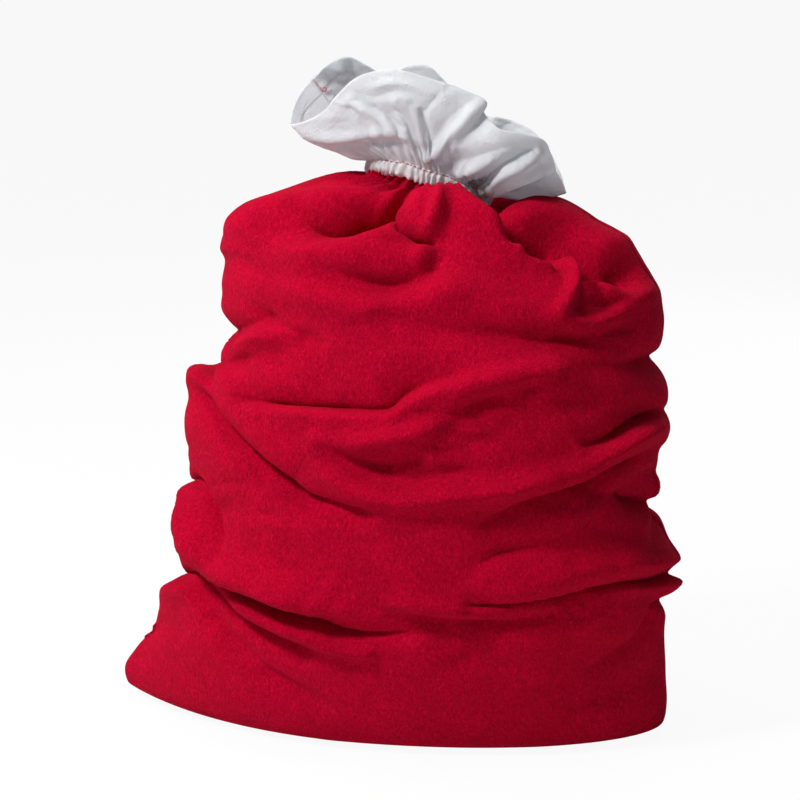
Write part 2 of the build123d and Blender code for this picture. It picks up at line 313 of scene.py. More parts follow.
BACK_FOLDS = [
    # sagging folds under the throat
    (9, 14, 14, 0, [(-210, 150, 0.4), (-120, 120, 1), (-20, 118, 1), (90, 150, 0.9), (170, 190, 0.3)]),
    (-13, 10, 14, 0, [(-190, 120, 0.4), (-110, 95, 1), (-10, 90, 1), (80, 112, 0.6)]),
    (8, 12, 16, 0, [(-90, 60, 0.4), (10, 48, 1), (110, 66, 1), (200, 100, 0.5)]),
    # the hollow that the left shoulder's edge hangs over
    (10, 14, 6, 6, [(20, 0, 0.4), (90, 8, 1), (160, 40, 1), (215, 60, 0.8)]),
    (-20, 7, 11, 0, [(30, -12, 0.4), (95, -6, 1), (165, 25, 1), (220, 45, 0.9)]),
    (-11, 10, 12, 0, [(-250, 20, 0.9), (-180, 0, 1), (-100, -12, 0.8), (-40, -6, 0.4)]),
    (8, 10, 12, 0, [(-240, -20, 0.5), (-160, -42, 1), (-60, -52, 1), (40, -48, 1), (130, -30, 0.5)]),
    (-12, 9, 12, 0, [(-120, -78, 0.4), (-20, -82, 1), (90, -74, 1), (190, -40, 0.8)]),
    # low crests over deep hollows
    (11, 14, 6, 6, [(-280, -70, 0.6), (-200, -105, 1), (-100, -122, 1), (0, -126, 0.7), (60, -120, 0.3)]),
    (-21, 7, 11, 0, [(-282, -86, 0.8), (-200, -120, 1), (-100, -138, 1), (-10, -142, 0.6)]),
    (9, 12, 7, 4, [(20, -150, 0.3), (110, -146, 1), (200, -122, 1), (250, -96, 0.7)]),
    (-15, 7, 11, 0, [(30, -164, 0.3), (115, -160, 1), (205, -138, 1), (255, -112, 0.7)]),
    (-8, 14, 14, 0, [(-230, -190, 0.5), (-130, -212, 1), (-30, -216, 0.8), (60, -206, 0.3)]),
    (6, 14, 14, 0, [(-200, -235, 0.4), (-90, -250, 1), (40, -252, 1), (150, -236, 0.5)]),
    # gathers running out from the throat
    (10, 8, 8, 0, [(-30, 200, 0.8), (-75, 180, 1), (-125, 150, 0.4)]),
    (-14, 7, 7, 0, [(-10, 200, 0.8), (-45, 172, 1), (-80, 140, 0.3)]),
    (9, 8, 8, 0, [(20, 205, 0.8), (45, 180, 1), (60, 150, 0.4)]),
    (-12, 7, 7, 0, [(45, 208, 0.8), (85, 185, 1), (120, 160, 0.3)]),
]

# Loose wrinkles, in millimetres: the box they lie in, then ranges of length, width and rise
FELT_WRINKLES = (-250, 250, -290, 200), (35, 120), (4.5, 12), (1.0, 3.6)
FOLD_DEPTH = 1.82           # how much deeper than listed the front folds are made
FOLD_WIDTH = 1.25           # and how much wider
OVERHANG = 0.35             # how far the cloth above a deep crease sags, as a share of its depth


def bag_rings():
    """The smooth filled sack, as a grid of points: rows from the bottom seam up, columns once round it."""
    rows = []
    place = 0.0
    before = None
    for height, left, right, front, back, *ends, tilt, lift_left, lift_right, lift_front in RINGS:
        turn = math.radians(tilt)
        profile = np.array([height, front])
        if before is not None:
            place += np.linalg.norm(profile - before)
        before = profile
        middle, half = (left + right) / 2, (right - left) / 2
        rows.append((place, height, middle, half / math.cos(turn), front, back, *ends, turn,
                     lift_left, lift_right, lift_front))
    table = spline_rows(rows, FELT_ROWS).T[:, :, None]
    height, middle, half, front, back, point_left, point_right, turn = table[:8]
    lift_left, lift_right, lift_front = table[8:]
    share = np.arange(2 * FELT_COLUMNS)[None, :] / FELT_COLUMNS
    on_front = share < 1
    across = np.where(on_front, -np.cos(np.pi * share), np.cos(np.pi * (share - 1)))
    depth = np.where(on_front, -front, back)
    lift = np.where(across < 0, lift_left, lift_right) * np.abs(across) ** 5
    lift = lift + np.where(on_front, lift_front, 0) * (1 - across ** 2)
    x = middle + across * half * np.cos(turn)
    y = depth * np.maximum(1 - across ** 2, 0.0) ** np.where(across < 0, point_left, point_right)
    z = height - across * half * np.sin(turn) + lift
    return np.stack(np.broadcast_arrays(x, y, z), axis=2) * MM


def fold_field(points, normals, folds, azimuth, out, slide_out):
    """Adds the folds, as seen from that azimuth, to the push along the normal (out) and to the slide of the
    surface across each fold (slide_out)."""
    right, up, forward = view_axes(azimuth)
    a, h = seen_from(points, azimuth)
    facing = smoothstep(-0.75, -0.05, -(normals @ forward))
    for rise, above, below, slide, line in folds:
        line = line if line[0][0] <= line[-1][0] else line[::-1]
        samples = curve_through(line, 12 * len(line)) * np.array([MM, MM, 1.0])
        reach = 3.2 * MM * max(above, below)
        low, high = samples[:, :2].min(0) - reach, samples[:, :2].max(0) + reach
        near = np.nonzero((a > low[0]) & (a < high[0]) & (h > low[1]) & (h < high[1]) & (facing > 0))
        if not len(near[0]):
            continue
        place = np.column_stack([a[near], h[near]])
        gap = np.linalg.norm(place[:, None, :] - samples[None, :, :2], axis=2)
        nearest = gap.argmin(axis=1)
        direction = np.gradient(samples[:, :2], axis=0)
        direction /= np.linalg.norm(direction, axis=1, keepdims=True)
        direction = direction[nearest]
        offset = place - samples[nearest, :2]
        signed = direction[:, 0] * offset[:, 1] - direction[:, 1] * offset[:, 0]
        overshoot = (direction * offset).sum(axis=1)
        past_end = np.where(nearest == 0, np.minimum(overshoot, 0),
                            np.where(nearest == len(samples) - 1, np.maximum(overshoot, 0), 0.0))
        width = np.where(signed > 0, above, below) * MM
        # Crests are rounded and creases are sharp
        shape = (signed / width) ** 2 if rise > 0 else (np.abs(signed) / width) ** 1.35
        strength = samples[nearest, 2] * np.exp(-shape - (past_end / (MM * max(above, below))) ** 2)
        strength *= facing[near]
        out[near] += rise * MM * strength
        if rise < -10:
            # The cloth above a deep crease sags over it
            lip = np.exp(-((signed - 0.7 * width) / (0.6 * width)) ** 2) * (signed > -0.5 * width)
            sag = -OVERHANG * rise * samples[nearest, 2] * lip * facing[near]
            strength = strength * slide + sag * np.exp(-(past_end / (MM * max(above, below))) ** 2)
            slide = 1.0
        if slide:
            down = direction[:, 1:] * right - direction[:, :1] * up
            slide_out[near] += (slide * MM * strength)[:, None] * down


def stray_wrinkles(seed, count, box, lengths, widths, rises):
    """Small loose wrinkles inside a box as seen by a camera, in millimetres: mostly lying across and
    sagging like the big folds."""
    chance = np.random.default_rng(seed)
    folds = []
    for _ in range(count):
        a, h = chance.uniform(box[0], box[1]), chance.uniform(box[2], box[3])
        length, angle = chance.uniform(*lengths), chance.normal(0.0, 0.35)
        sag = chance.uniform(0.0, 0.16) * length
        line = []
        for t in (-0.5, -0.2, 0.2, 0.5):
            bend = sag * (4 * t * t - 0.5)
            line.append((a + length * t * math.cos(angle), h + length * t * math.sin(angle) + bend,
                         0.3 if abs(t) == 0.5 else 1.0))
        width = chance.uniform(*widths)
        folds.append((chance.choice([-1, 1]) * chance.uniform(*rises), width, width * 1.3, 0, line))
    return folds


def sculpt_felt():
    """The folded sack as a closed grid of points."""
    grid = bag_rings()
    normals = grid_normals(grid)
    push, slide = np.zeros(grid.shape[:2]), np.zeros(grid.shape)
    behind = VIEW_AZIMUTH + 180
    folds = [(rise * FOLD_DEPTH, above * FOLD_WIDTH, below * FOLD_WIDTH, slide, line)
             for rise, above, below, slide, line in FRONT_FOLDS]
    fold_field(grid, normals, folds, VIEW_AZIMUTH, push, slide)
    fold_field(grid, normals, stray_wrinkles(5, 115, *FELT_WRINKLES), VIEW_AZIMUTH, push, slide)
    fold_field(grid, normals, BACK_FOLDS, behind, push, slide)
    fold_field(grid, normals, stray_wrinkles(8, 130, *FELT_WRINKLES), behind, push, slide)
    row = np.arange(FELT_ROWS + 1)[:, None] / FELT_ROWS
    free = smoothstep(0.12, 0.2, row) * (1 - smoothstep(0.945, 0.978, row))
    grid = grid + (push * free)[..., None] * normals + slide * free[..., None]
    return relax(grid, 2)


PLEATS = 40                 # gathers round the throat
PLEAT_DEPTH = 0.0036
FELT_FIXED = FELT_ROWS - 22     # the rows above this one are respaced
FELT_CUT = FELT_ROWS - 4        # the panels end at this row, where the gathers begin
# Up the throat, but leant a little the way the casing sits askew
LEVEL_UP = ALONG - 0.05 * ACROSS + 0.1 * THROUGH
CUT_LEVEL = 0.034               # how high above the pivot row FELT_CUT is put, along LEVEL_UP


def throat_frame(points):
    """Across, through and along coordinates of points in the throat's frame."""
    local = points - PIVOT
    return local @ ACROSS, local @ THROUGH, local @ ALONG


def pleat_wave(angle, count, seed):
    """-1 in the creases and +1 on the rounded tops of gathers of uneven width round the throat."""
    chance = np.random.default_rng(seed)
    warp = sum(chance.uniform(-0.10, 0.10) * np.sin(k * angle + chance.uniform(0, 6.3)) for k in (2, 3, 5, 7))
    return 1 - 2 * np.abs(np.cos(count / 2 * (angle + warp))) ** 1.6


def add_pleats(grid, normals):
    """Gathers that run out from the casing into the felt."""
    across, through, along = throat_frame(grid)
    radius = np.hypot(across / 1.15, through)
    angle = np.arctan2(through * 1.2, across)
    amount = (1 - smoothstep(0.062, 0.098, radius)) * smoothstep(-0.05, -0.01, along)
    return grid + (PLEAT_DEPTH * amount * pleat_wave(angle, PLEATS, 3))[..., None] * normals


def mesh_object(name, points, faces, cloth=None):
    """New smooth-shaded mesh object; cloth gives each point's place on the flat cloth, for the weave."""
    mesh = bpy.data.meshes.new(name)
    mesh.from_pydata(np.asarray(points).tolist(), [], faces)
    mesh.validate()
    mesh.shade_smooth()
    if cloth is not None:
        corners = np.zeros(len(mesh.loops), dtype=np.int32)
        mesh.loops.foreach_get("vertex_index", corners)
        mesh.uv_layers.new(name="cloth").data.foreach_set("uv", np.asarray(cloth)[corners].ravel())
    piece = bpy.data.objects.new(name, mesh)
    bpy.context.collection.objects.link(piece)
    return piece


def sheet_mesh(name, outer, inner, step=1, cloth=None):
    """Closed sheet between two grids of points; the inner one keeps one point in every step."""
    rows, columns = outer.shape[0], outer.shape[1]
    inner = inner[::step, ::step]
    half = inner.shape[1]
    points = np.concatenate([outer.reshape(-1, 3), inner.reshape(-1, 3)])
    first = rows * columns
    faces = []
    for r in range(rows - 1):
        for c in range(columns - 1):
            at = r * columns + c
            faces.append((at, at + 1, at + columns + 1, at + columns))
    for r in range(inner.shape[0] - 1):
        for c in range(half - 1):
            at = first + r * half + c
            faces.append((at, at + half, at + half + 1, at + 1))
    rim = [(0, c) for c in range(columns)] + [(r, columns - 1) for r in range(1, rows)]
    rim += [(rows - 1, c) for c in range(columns - 2, -1, -1)] + [(r, 0) for r in range(rows - 2, -1, -1)]
    for k in range(0, len(rim) - 1, step):
        edge = [r * columns + c for r, c in reversed(rim[k:k + step + 1])]
        (r0, c0), (r1, c1) = rim[k], rim[k + step]
        faces.append((*edge, first + r0 // step * half + c0 // step, first + r1 // step * half + c1 // step))
    if cloth is not None:
        cloth = np.concatenate([cloth.reshape(-1, 2), cloth[::step, ::step].reshape(-1, 2)])
    return mesh_object(name, points, faces, cloth)


def seam_pinch(grid):
    """Draws the surface in along the side seams, where the panels are sewn together."""
    normals = grid_normals(grid)
    column = np.arange(2 * FELT_COLUMNS)
    from_seam = np.minimum(column % FELT_COLUMNS, FELT_COLUMNS - column % FELT_COLUMNS)
    depth = 0.0035 * np.exp(-(from_seam / 1.6) ** 2)
    return grid - depth[None, :, None] * normals


def level_rows(grid):
    """The same surface with its top rows respaced, so that row FELT_CUT runs level round the throat."""
    levels = (grid - PIVOT) @ LEVEL_UP
    out = grid.copy()
    for column in range(grid.shape[1]):
        line, level = grid[:, column], levels[:, column]
        below = np.nonzero(level[:-1] <= CUT_LEVEL)[0][-1]
        place = below + (CUT_LEVEL - level[below]) / (level[below + 1] - level[below])
        rows = np.interp(np.arange(FELT_FIXED, FELT_ROWS + 1), (FELT_FIXED, FELT_CUT, FELT_ROWS),
                         (FELT_FIXED, place, FELT_ROWS))
        for axis in range(3):
            out[FELT_FIXED:, column, axis] = np.interp(rows, np.arange(FELT_ROWS + 1), line[:, axis])
    return out


def felt_pieces():
    """Front and back felt panels up to the throat, and the gathered felt above them."""
    grid = sculpt_felt()
    grid = add_pleats(grid, grid_normals(grid))
    grid = level_rows(seam_pinch(grid))
    normals = relax(grid_normals(grid), 2)
    normals /= np.linalg.norm(normals, axis=2, keepdims=True)
    pieces = []
    for name, first in (("front", 0), ("back", FELT_COLUMNS)):
        columns = np.arange(first, first + FELT_COLUMNS + 1) % (2 * FELT_COLUMNS)
        outer, inner = grid[:, columns], (grid - FELT_THICKNESS * normals)[:, columns]
        panel = sheet_mesh(name + "_felt_panel_cloth", outer[:FELT_CUT + 1], inner[:FELT_CUT + 1], 2)
        pleats = sheet_mesh(name + "_felt_pleats", outer[FELT_CUT:], inner[FELT_CUT:], 2)
        pieces += [(panel, name, "panel"), (pleats, name, "pleats")]
    return grid, pieces


# --------------------------------------------------------------------------------- the cotton cuff
CUFF_COLUMNS = 240          # cells from one side seam to the other
CUFF_ROWS = 96              # cells from the casing to the rim
COTTON = 0.0011             # thickness of one layer of cotton
HEM = 0.019                 # width of the hem that is turned in along the rim
CASING_FOOT = 28            # millimetres along the throat from the pivot to the casing's bottom edge
CASING_HEAD = 46            # and to its top edge
CASING_HALF = (63.5, 45.5)  # middle of the casing's channel: half width and half depth
CASING_COLUMNS = 320        # cells round half of the casing
PUCKERS = 54                # gathers of the cotton round the casing
STITCH_PITCH = 0.0046       # roughly from the start of one stitch to the next
HEM_STITCH_INSET = 0.0025   # how far inside the hem's edge its stitches run

# Shape of the cuff: how far along it from the left seam to the right one (in front) or back again (behind),
# then millimetres across, through and along the throat, half-way up the cuff and on its rim
CUFF_FRONT = [
    (0.00, -120, 2, 77, -159, 0, 99),
    (0.05, -129, -8, 51, -165, -9, 77),
    (0.10, -121, -17, 39, -162, -17, 51),
    (0.15, -109, -28, 41, -149, -27, 56),
    (0.22, -94, -40, 58, -128, -37, 77),
    (0.30, -80, -50, 79, -117, -44, 103),
    (0.38, -60, -56, 94, -100, -50, 130),
    (0.46, -39, -60, 104, -67, -55, 150),
    (0.54, -17, -60, 109, -28, -58, 155),
    (0.62, 9, -60, 105, 8, -58, 157),
    (0.68, 23, -61, 100, 35, -56, 154),
    (0.72, 32, -63, 96, 35, -50, 143),
    (0.77, 49, -66, 92, 57, -64, 134),
    (0.84, 72, -62, 89, 83, -60, 137),
    (0.90, 91, -44, 81, 107, -43, 135),
    (0.95, 102, -22, 73, 124, -21, 112),
    (1.00, 108, 0, 65, 143, 0, 86),
]
CUFF_BACK = [
    (0.00, 108, 0, 65, 143, 0, 86),
    (0.05, 97, 18, 69, 130, 18, 98),
    (0.12, 78, 38, 73, 107, 38, 115),
    (0.20, 60, 50, 79, 81, 50, 127),
    (0.28, 39, 56, 82, 54, 56, 129),
    (0.34, 22, 58, 82, 38, 50, 127),
    (0.40, 7, 60, 84, 23, 60, 123),
    (0.48, -15, 60, 86, -6, 64, 129),
    (0.55, -34, 58, 91, -33, 60, 143),
    (0.62, -50, 58, 91, -53, 58, 151),
    (0.69, -67, 58, 90, -74, 60, 143),
    (0.76, -82, 56, 86, -95, 62, 125),
    (0.83, -99, 50, 80, -119, 54, 128),
    (0.90, -111, 35, 77, -139, 40, 130),
    (0.95, -116, 18, 77, -152, 20, 118),
    (1.00, -120, 2, 77, -159, 0, 99),
]
# Folds of the cuff, as they are seen from the viewpoint, like the felt's
CUFF_FOLDS = [
    (4, 6, 5, 0, [(4, 289, 0.7), (-15, 304, 1), (-36, 317, 1), (-57, 328, 0.7)]),
    (-4, 4, 4, 0, [(2, 299, 0.7), (-13, 311, 1), (-31, 322, 0.7), (-46, 329, 0.3)]),
    (4, 6, 6, 2, [(-4, 293, 0.6), (-16, 295, 1), (-44, 292, 1), (-77, 288, 1), (-103, 292, 0.4)]),
    (-4, 4, 7, 0, [(-9, 284, 0.7), (-33, 283, 1), (-66, 280, 0.8)]),
    (4, 7, 3, 0, [(31, 261, 1), (29, 273, 1), (23, 290, 1), (20, 304, 1), (16, 318, 0.6)]),
    (-8, 3, 3, 0, [(36, 261, 1), (34, 274, 1), (30, 290, 1), (26, 304, 1), (23, 318, 0.6)]),
    (7, 6, 6, 0, [(90, 326, 0.4), (80, 317, 1), (67, 301, 1), (56, 290, 1), (44, 277, 1), (35, 264, 0.8)]),
    (-4, 8, 9, 0, [(75, 328, 0.3), (59, 315, 0.8), (47, 301, 1), (37, 286, 0.6)]),
    (-3, 3, 3, 0, [(-10, 323, 0.4), (-1, 315, 1), (8, 304, 1), (13, 288, 1), (20, 273, 0.6)]),
    (4, 9, 9, 0, [(-1, 333, 1), (6, 331, 1)]),
    (-10.5, 5, 5, 0, [(68, 235, 0.5), (94, 243, 1), (111, 256, 1), (129, 267, 1), (143, 276, 0.5)]),
    (9, 5, 5, 0, [(68, 228, 0.5), (94, 235, 1), (113, 248, 1), (132, 258, 1), (152, 272, 0.6)]),
    (8, 5, 5, 0, [(77, 224, 0.5), (102, 231, 1), (128, 241, 1), (146, 248, 1), (164, 255, 0.6)]),
    (-16, 5, 7, 0, [(86, 217, 0.5), (110, 227, 1), (132, 234, 1), (154, 241, 1), (172, 249, 0.7)]),
    (-5, 12, 12, 0, [(48, 258, 0.6), (72, 264, 1), (99, 273, 1), (123, 279, 0.6)]),
    (6, 6, 6, 0, [(57, 246, 0.5), (77, 251, 1), (97, 260, 0.6)]),
    (-3, 4, 4, 0, [(-63, 333, 0.5), (-55, 321, 1), (-51, 312, 0.5)]),
    (3, 5, 5, 0, [(-31, 343, 0.4), (-9, 348, 1), (13, 345, 0.8), (35, 337, 0.4)]),
    (-3, 5, 5, 0, [(-26, 334, 0.4), (-9, 339, 1), (9, 338, 0.5)]),
    (-3, 4, 4, 0, [(44, 339, 0.3), (33, 326, 1), (26, 317, 0.5)]),
]
CUFF_LINING_FOLDS = [
    (-4, 6, 6, 0, [(-87, 366, 0.5), (-80, 359, 1), (-74, 351, 0.8)]),
    (4, 9, 8, 0, [(-76, 363, 0.6), (-68, 363, 1), (-59, 363, 0.7)]),
    (-4, 5, 5, 0, [(-54, 372, 0.6), (-56, 364, 1), (-58, 356, 0.6)]),
    (-3, 6, 6, 0, [(-108, 336, 0.4), (-99, 333, 1), (-92, 337, 0.6)]),
    (3, 8, 7, 0, [(-110, 321, 0.6), (-106, 327, 1), (-100, 339, 0.6)]),
]


def casing_ring(angle, wide, deep):
    """Points round an oval, and the directions outwards from it, across and through the throat."""
    outward = np.stack([np.cos(angle) / wide, np.sin(angle) / deep], axis=-1)
    outward /= np.linalg.norm(outward, axis=-1, keepdims=True)
    return wide * np.cos(angle), deep * np.sin(angle), outward


def ride_up(across, through):
    """Millimetres that the casing sits above its level place: it has ridden up in front and to the right."""
    return 5 + 0.08 * across + 0.175 * (np.sqrt(through ** 2 + 225) - through - 15)


def turn_of_column(columns):
    """Angle round the throat of each column of a closed grid, from the left seam by the front and round."""
    return np.pi + np.pi * np.arange(2 * columns) / columns


def ruffle(angle):
    """Gathers of the cotton: -1 in the creases and 1 on top, a little uneven."""
    wave = pleat_wave(angle, PUCKERS, 11)
    return wave * (0.78 + 0.22 * np.sin(5 * angle + 1.0) * np.sin(3 * angle + 0.4))


def cuff_grid():
    """The cuff's middle surface as a closed grid: rows from casing to rim, columns once round it."""
    table = np.concatenate([spline_rows(half, CUFF_COLUMNS)[:-1] for half in (CUFF_FRONT, CUFF_BACK)])
    middle, rim = table[:, :3], table[:, 3:]
    angle = turn_of_column(CUFF_COLUMNS)
    across, through, _ = casing_ring(angle, CASING_HALF[0] + 2.0, CASING_HALF[1] + 2.0)
    foot = np.column_stack([across, through, CASING_HEAD - 3.0 + ride_up(across, through)])
    pull = 2 * middle - (foot + rim) / 2
    t = np.linspace(0, 1, CUFF_ROWS + 1)[:, None, None]
    grid = (1 - t) ** 2 * foot + 2 * t * (1 - t) * pull + t * t * rim
    flat = t[:, :, 0]
    gather = 3.1 * (smoothstep(-0.1, 0.06, flat) - smoothstep(0.10, 0.42, flat)) * ruffle(angle)[None, :]
    loose = 1.6 * smoothstep(0.08, 0.25, flat) * (1 - smoothstep(0.35, 0.8, flat)) * pleat_wave(angle, 22, 4)
    # Gathers push the fabric square to the surface, which lies flatter the further the cuff has flared
    square = np.cross(np.roll(grid, -1, axis=1) - np.roll(grid, 1, axis=1), np.gradient(grid, axis=0))
    square /= np.maximum(np.linalg.norm(square, axis=2, keepdims=True), 1e-9)
    grid = grid + (gather + loose)[..., None] * square
    return neck_points(grid[..., 0] * MM, grid[..., 1] * MM, grid[..., 2] * MM)


def sculpt_cuff():
    """The folded cuff: its middle surface, outward normals, and the distance of each point from the rim."""
    grid = cuff_grid()
    normals = grid_normals(grid)
    push, slide = np.zeros(grid.shape[:2]), np.zeros(grid.shape)
    front, back = np.s_[:, :CUFF_COLUMNS], np.s_[:, CUFF_COLUMNS:]
    fold_field(grid[front], normals[front], CUFF_FOLDS, VIEW_AZIMUTH, push[front], slide[front])
    wrinkles = stray_wrinkles(21, 110, (-150, 175, 235, 350), (14, 50), (1.6, 5), (0.2, 0.9))
    fold_field(grid[front], normals[front], wrinkles, VIEW_AZIMUTH, push[front], slide[front])
    lining = np.zeros((CUFF_ROWS + 1, CUFF_COLUMNS))
    fold_field(grid[back], -normals[back], CUFF_LINING_FOLDS, VIEW_AZIMUTH, lining, slide[back])
    wrinkles = stray_wrinkles(23, 60, (-120, 60, 300, 375), (12, 40), (1.6, 4), (0.3, 1.2))
    fold_field(grid[back], -normals[back], wrinkles, VIEW_AZIMUTH, lining, slide[back])
    push[back] -= lining
    wrinkles = stray_wrinkles(22, 130, (-175, 150, 235, 350), (14, 60), (1.6, 6), (0.3, 1.8))
    fold_field(grid[back], normals[back], wrinkles, VIEW_AZIMUTH + 180, push[back], slide[back])
    row = np.arange(CUFF_ROWS + 1)[:, None] / CUFF_ROWS
    free = smoothstep(0.03, 0.14, row)
    grid = grid + (push * free)[..., None] * normals + slide * free[..., None]
    grid = relax(grid, 1)
    step = np.linalg.norm(np.diff(grid, axis=0), axis=2)
    from_rim = np.concatenate([step[::-1].cumsum(axis=0)[::-1], np.zeros((1, step.shape[1]))])
    return grid, grid_normals(grid), from_rim


def cuff_faces(grid, normals, from_rim):
    """Outer and inner surfaces of the cuff, with the hem turned in and drawn in by its stitches."""
    hem = 1 - smoothstep(HEM - 0.0012, HEM, from_rim)
    dent = 0.0005 * np.exp(-((from_rim - HEM + HEM_STITCH_INSET) / 0.0012) ** 2)
    rounding = np.sqrt(1 - (1 - np.clip(from_rim / 0.0022, 0, 1)) ** 2) * 0.85 + 0.15
    outer = grid + ((COTTON * (0.5 + 0.4 * hem) * rounding) - dent)[..., None] * normals
    inner = grid - ((COTTON * (0.5 + 0.9 * hem) * rounding) - dent)[..., None] * normals
    return outer, inner


def row_where(from_rim, distance):
    """Row, as a fraction, at which each column is that far from the rim."""
    rows = np.arange(from_rim.shape[0])
    return np.array([np.interp(distance, column[::-1], rows[::-1]) for column in from_rim.T])


def between(grid, row, column):
    """Value of a grid at a fractional row and column; the columns close on themselves."""
    r, c = int(np.floor(row)), int(np.floor(column))
    r = min(max(r, 0), grid.shape[0] - 2)
    t, s = row - r, column - c
    first, second = c % grid.shape[1], (c + 1) % grid.shape[1]
    low = (1 - s) * grid[r, first] + s * grid[r, second]
    high = (1 - s) * grid[r + 1, first] + s * grid[r + 1, second]
    return (1 - t) * low + t * high


def swept_faces(count, sides, base=0):
    """Faces of a tube of count rings of points, numbered from base, with its two ends closed."""
    faces = []
    for low in range(base, base + (count - 1) * sides, sides):
        for s in range(sides):
            n = (s + 1) % sides
            faces.append((low + s, low + n, low + sides + n, low + sides + s))
    faces.append(tuple(base + s for s in reversed(range(sides))))
    faces.append(tuple(base + (count - 1) * sides + s for s in range(sides)))
    return faces


def square_to(path, normals):
    """Two unit directions square to a path at each of its points: beside it, and up from the cloth."""
    ahead = np.gradient(path, axis=0)
    ahead /= np.linalg.norm(ahead, axis=1, keepdims=True)
    beside = np.cross(ahead, normals)
    beside /= np.linalg.norm(beside, axis=1, keepdims=True)
    return beside, np.cross(beside, ahead)


def thread_mesh(name, stitches, radius):
    """Stitches as short round threads that arch out of the cloth and dive back in.  Each stitch is a list of
    points on the cloth and a list of the cloth's normals there."""
    sides = 8
    points, faces = [], []
    for path, normals in stitches:
        path, normals = np.array(path), np.array(normals)
        count = len(path)
        t = np.linspace(-1, 1, count)
        middle = path + (radius * (0.75 - 1.9 * np.abs(t) ** 5))[:, None] * normals
        beside, up = square_to(middle, normals)
        faces += swept_faces(count, sides, len(points))
        for k in range(count):
            for s in range(sides):
                turn = 2 * math.pi * s / sides
                size = radius * (1 - 0.35 * t[k] ** 4)
                points.append(middle[k] + size * (math.cos(turn) * beside[k] + math.sin(turn) * up[k]))
    return mesh_object(name, points, faces)


def stitch_row(grid, normals, rows, first, last, pitch, length, seed):
    """Stitches of uneven length along a row of a closed grid, from the first column to the last."""
    chance = np.random.default_rng(seed)
    line = [between(grid, rows[c % len(rows)], c) for c in range(first, last + 1)]
    place = distances(line)
    columns = np.arange(first, last + 1)
    stitches = []
    at = pitch * 0.6
    while at + pitch < place[-1]:
        size = length * chance.uniform(0.75, 1.1)
        slip = chance.uniform(-0.25, 0.25)
        path, outward = [], []
        for distance in np.linspace(at, at + size, 7):
            column = float(np.interp(distance, place, columns))
            row = float(np.interp(column % len(rows), np.arange(len(rows)), rows)) + slip
            path.append(between(grid, row, column))
            outward.append(between(normals, row, column))
        stitches.append((path, outward))
        at += pitch * chance.uniform(0.92, 1.1)
    return stitches


def thread_tail(place, outward):
    """Small loose loop of thread that stands up from the end of a seam."""
    turn = np.linspace(0, 1.5 * np.pi, 12)
    beside = np.cross(outward, ACROSS)
    beside /= np.linalg.norm(beside)
    ahead = np.cross(beside, outward)
    loop = [place + 0.0028 * ((1 - math.cos(t)) * beside + 0.8 * math.sin(t) * ahead) + 0.0012 * outward
            for t in turn]
    return loop, [outward] * len(loop)


def casing_grid():
    """Outer skin of the gathered channel as a closed grid: rows from the bottom edge, up the outside, over
    the top and down the inside; columns once round it."""
    rows = 48
    angle = turn_of_column(CASING_COLUMNS)
    across, through, outward = casing_ring(angle, *CASING_HALF)
    round_turn = -np.pi / 2 + 2 * np.pi * np.arange(rows) / rows
    bulk = np.sign(np.cos(round_turn)) * np.abs(np.cos(round_turn)) ** 0.7
    height = np.sign(np.sin(round_turn)) * np.abs(np.sin(round_turn)) ** 0.7
    wave, skew = ruffle(angle), 0.9 * np.sin(7 * angle) + 0.7 * np.sin(11 * angle + 2)
    slanted = np.stack([ruffle(angle + 0.025 * skew * h + 0.012 * math.sin(4 * h)) for h in height])
    slanted += 0.35 * np.sin(31 * angle[None, :] + 2.5 * height[:, None]) * np.sin(3 * height[:, None] + 1)
    pinch = np.exp(-((height - 0.72) / 0.12) ** 2) * (bulk > 0)
    out = bulk[:, None] * (6.0 + 2.1 * slanted * (bulk > 0)[:, None] + 0.7 * slanted * (bulk <= 0)[:, None])
    out -= 1.3 * pinch[:, None]
    middle = (CASING_FOOT + CASING_HEAD) / 2 + ride_up(across, through) + 0.8 * np.sin(9 * angle)
    scallop = 8.8 + np.where(height[:, None] < 0, 1.7, 0.6) * wave[None, :]
    along = middle[None, :] + height[:, None] * scallop
    grid_across = across[None, :] + out * outward[None, :, 0]
    grid_through = through[None, :] + out * outward[None, :, 1]
    return neck_points(grid_across * MM, grid_through * MM, along * MM), height, bulk


def tube_half(name, grid, first, last):
    """Half of a ring-shaped closed tube whose rows close on themselves, with flat ends."""
    columns = np.arange(first, last + 1) % grid.shape[1]
    rows = grid.shape[0]
    points = grid[:, columns].transpose(1, 0, 2).reshape(-1, 3)
    faces = []
    for c in range(len(columns) - 1):
        for r in range(rows):
            n = (r + 1) % rows
            faces.append((c * rows + r, (c + 1) * rows + r, (c + 1) * rows + n, c * rows + n))
    faces.append(tuple(range(rows)))
    faces.append(tuple((len(columns) - 1) * rows + r for r in reversed(range(rows))))
    return mesh_object(name, points, faces)


def tube_along(name, path, normals, radius, sides=6):
    """One long round thread along a path; the normals keep it from twisting."""
    beside, up = square_to(path, normals)
    points = []
    for k in range(len(path)):
        for s in range(sides):
            turn = 2 * math.pi * s / sides
            points.append(path[k] + radius * (math.cos(turn) * beside[k] + math.sin(turn) * up[k]))
    return mesh_object(name, points, swept_faces(len(path), sides))


